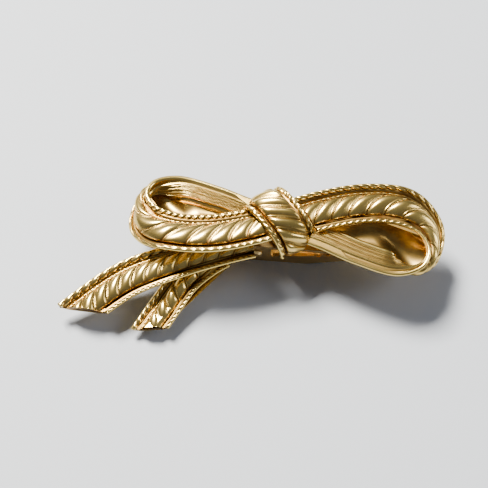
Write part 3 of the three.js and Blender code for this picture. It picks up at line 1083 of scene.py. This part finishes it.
@dataclass
class SpringClip:
    """The sprung clip: plate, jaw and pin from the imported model, and a round spring wire."""

    finishes: Finishes
    pin_x: float = PIN_X
    pin_y: float = PIN_Y
    pin_height: float = 3.7
    wire_radius: float = 0.3
    coil_radius: float = 1.12
    turns: float = 4.5
    pitch: float = 0.66
    leg_end: float = -14.5
    plate_underside: float = 5.4
    lever_top: float = 0.7
    slide_gap: float = 0.1
    leg_points: int = 12
    turn_points: int = 24

    def wire_path(self) -> SmoothPath:
        """Lays out the wire's middle line: upper leg, coil, lower leg.

        Returns:
            The path.
        """
        leg = self.pin_x - self.leg_end
        half_width = self.pitch * self.turns / 2
        plate_z = self.plate_underside - self.wire_radius - self.slide_gap / 2
        lever_z = self.lever_top + self.wire_radius + self.slide_gap / 2
        points = []
        for share in np.linspace(0, 1, self.leg_points, endpoint=False):
            lift = (1 - share) ** 2 * (plate_z - self.pin_height - self.coil_radius)
            points.append((self.leg_end + share * leg, half_width, self.pin_height + self.coil_radius + lift))
        for share in np.linspace(0, 1, round(self.turn_points * self.turns), endpoint=False):
            angle = math.pi / 2 - share * self.turns * 2 * math.pi
            points.append((self.pin_x + self.coil_radius * math.cos(angle), half_width * (1 - 2 * share),
                           self.pin_height + self.coil_radius * math.sin(angle)))
        for share in np.linspace(0, 1, self.leg_points):
            drop = share**2 * (self.pin_height - self.coil_radius - lever_z)
            points.append((self.pin_x - share * leg, -half_width, self.pin_height - self.coil_radius - drop))
        return SmoothPath([(x, y + self.pin_y, z) for x, y, z in points], steps=4)

    def spring(self) -> None:
        """Makes the torsion spring wire, which doesn't ride on the bow's body."""
        path = self.wire_path()
        radius = self.wire_radius

        def place(share: Array, across: Array, lift: Array) -> Array:
            """Places the wire's section square to its path.

            Args:
                share: shares of the wire's length.
                across: millimetres to the side of the path.
                lift: millimetres out of the path, square to across.

            Returns:
                Points in millimetres.
            """
            along = path.tangent(share)
            side = unit(np.cross(along, np.array([0.05, 1.0, 0.1])))
            return path.at(share) + side * across[:, None] + np.cross(side, along) * lift[:, None]

        def section(share: Array, around: Array) -> tuple[Array, Array, Array]:
            """Goes round the wire.

            Args:
                share: shares along the wire.
                around: shares round the section.

            Returns:
                Across, lift and recess.
            """
            angle = 2 * np.pi * around
            return radius * np.cos(angle), radius * np.sin(angle), np.zeros(len(share))

        piece = swept("torsion_spring_wire", along=420, around=14, section=section, place=place)
        self.finishes.dress(piece, Slot.STEEL, ["torsion_spring"], rides=False)
        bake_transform(piece)

    def build(self) -> None:
        """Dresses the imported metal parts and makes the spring."""
        for node in ("top_plate", "toothed_jaw", "hinge_pin"):
            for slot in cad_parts[node].material_slots:
                slot.material = self.finishes.by_slot[Slot.CLIP]
            log.info("%s: packed shape, dressed", node)
        self.spring()


# ----------------------------------------------------------------------------------------------------------
# Studio
# ----------------------------------------------------------------------------------------------------------


@dataclass
class Studio:
    """Pale floor, soft lights and the camera."""

    azimuth: float = 5.0
    elevation: float = 61.0
    camera_place: tuple[float, float, float] = (3.7, -120.94, 220.72)
    lens: float = 106.97
    sensor: float = 36.0
    clip_start: float = 0.01
    floor_size: float = 2.0
    floor_color: tuple[float, float, float] = (0.39, 0.415, 0.47)
    floor_roughness: float = 0.6
    sky_color: tuple[float, float, float] = (0.8, 0.84, 0.92)
    sky_strength: float = 0.22

    def camera(self) -> None:
        """Places the camera."""
        az, el = math.radians(self.azimuth), math.radians(self.elevation)
        back = Vector((math.sin(az) * math.cos(el), -math.cos(az) * math.cos(el), math.sin(el)))
        right = Vector((math.cos(az), math.sin(az), 0.0))
        up = back.cross(right)
        place = Vector(self.camera_place) + Vector(ORIGIN)
        data = bpy.data.cameras.new("camera")
        data.sensor_width = self.sensor
        data.lens = self.lens
        data.clip_start = self.clip_start
        camera = bpy.data.objects.new("camera", data)
        turned = Matrix((right, up, back)).transposed().to_4x4()
        camera.matrix_world = Matrix.Translation(place * MM) @ turned
        bpy.context.scene.collection.objects.link(camera)
        bpy.context.scene.camera = camera

    def floor(self) -> None:
        """Lays the pale floor."""
        bm = bmesh.new()
        bmesh.ops.create_grid(bm, x_segments=1, y_segments=1, size=self.floor_size)
        floor = finished(bm, "studio_floor")
        material = bpy.data.materials.new("pale_floor")
        material.use_nodes = True
        shader = material.node_tree.nodes["Principled BSDF"]
        shader.inputs["Base Color"].default_value = (*self.floor_color, 1)
        shader.inputs["Roughness"].default_value = self.floor_roughness
        floor.data.materials.append(material)

    def light(self, name: str, place: Sequence[float], size: float, power: float,
              color: Sequence[float] = (1, 1, 1)) -> None:
        """Hangs a soft square light that faces the bow.

        Args:
            name: the light's name.
            place: where it hangs, in metres.
            size: the length of its side, in metres.
            power: its power in watts.
            color: its colour.
        """
        data = bpy.data.lights.new(name, "AREA")
        data.size = size
        data.energy = power
        data.color = color
        lamp = bpy.data.objects.new(name, data)
        spot = Vector(place)
        lamp.matrix_world = Matrix.Translation(spot) @ spot.to_track_quat("Z", "Y").to_matrix().to_4x4()
        bpy.context.scene.collection.objects.link(lamp)

    def build(self) -> None:
        """Sets up the whole studio."""
        self.camera()
        self.floor()
        self.light("key_light", (-0.35, 0.45, 0.75), size=0.3, power=50.0, color=(1.0, 0.96, 0.86))
        self.light("side_light", (0.7, 0.1, 0.45), size=0.3, power=2.5)
        world = bpy.context.scene.world or bpy.data.worlds.new("world")
        bpy.context.scene.world = world
        world.use_nodes = True
        sky = world.node_tree.nodes["Background"]
        sky.inputs["Color"].default_value = (*self.sky_color, 1)
        sky.inputs["Strength"].default_value = self.sky_strength


def main() -> None:
    """Builds the bow, the clip and the studio, and reports each piece."""
    logging.basicConfig(level=logging.INFO, format="%(message)s")
    finishes = Finishes()
    knot = Knot(finishes)
    Loop(finishes, knot, "right_loop", side=1, reach=24.1, opening_width=8.3, opening_middle=-3.4,
         ribbon_width=6.2, root_share=1.0, wire_scale=(0.7, 1.0), return_tilt=170.0,
         return_share=0.68).build()
    Loop(finishes, knot, "left_loop", side=-1, reach=23.6, opening_width=7.1, opening_middle=-4.0,
         ribbon_width=6.8, root_share=0.95, wire_scale=(0.95, 0.85)).build()
    knot.build()
    Tail(finishes, "long_tail", width=6.0, root_share=0.75, cut=5.8, strand_pitch=(1.8, 1.2),
         wire_scale=(1.25, 0.7), trim=knot.trim(-1),
         route=((-5.2, -3, 6.5), (-9.8, -4.5, 6.45), (-17.8, -7.1, 5.7), (-25.8, -10.5, 4.3),
                (-34.6, -17.7, 2.4))).build()
    Tail(finishes, "short_tail", width=4.7, root_share=0.95, cut=3.3, strand_pitch=(1.3, 1.15),
         wire_scale=(0.95, 0.7),
         route=((-10.2, -4.1, 4.0), (-12.7, -6.0, 3.95), (-16, -9.2, 3.4), (-18.7, -13.4, 2.2),
                (-21.8, -19, 1.1))).build()
    SpringClip(finishes).build()
    Studio().build()


if __name__ == "__main__":
    main()
